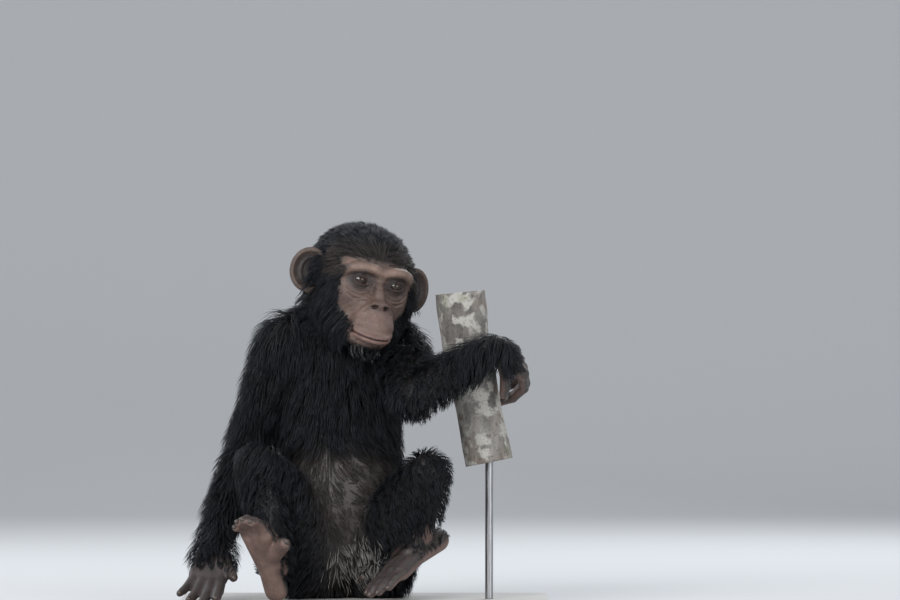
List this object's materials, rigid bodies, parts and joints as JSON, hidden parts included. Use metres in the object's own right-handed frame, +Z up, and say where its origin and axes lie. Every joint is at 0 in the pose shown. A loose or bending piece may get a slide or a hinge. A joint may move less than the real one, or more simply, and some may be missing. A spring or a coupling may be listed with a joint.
{
  "type": "chimpanzee model",
  "caption": "Life-size still model of a young chimpanzee that sits with its left hand hooked over a cut length of root, on a plain display stand.",
  "frame": {"origin": "on the underside of the stand's base, under the animal's rump", "axes": "+Z up; the animal's chest faces -Y and its left side is at +X"},
  "size_m": [0.46, 0.35, 0.482],
  "materials": {
    "coat": "long, straight, black hair with a slight sheen, thin and browner on the belly",
    "bare_skin": "matt, finely wrinkled bare skin",
    "eye": "wet, dark brown",
    "bark": "smooth pale grey bark with lichen spots",
    "stand_board": "matt, plain painted board",
    "stand_metal": "satin dark rod"
  },
  "bodies": {
    "root": {"head": "coat", "neck": "coat", "torso": "coat", "upper_arm_R": "coat", "upper_arm_L": "coat", "forearm_R": "coat", "forearm_L": "coat", "hand_R": "coat", "hand_L": "coat", "thigh_R": "coat", "thigh_L": "coat", "shin_R": "coat", "shin_L": "coat", "foot_R": "coat", "foot_L": "coat", "ear_R": "bare_skin", "ear_L": "bare_skin", "eye_R": "eye", "eye_L": "eye", "perch_root": "bark", "stand_base": "stand_board", "stand_rod": "stand_metal"}
  },
  "joints": []
}
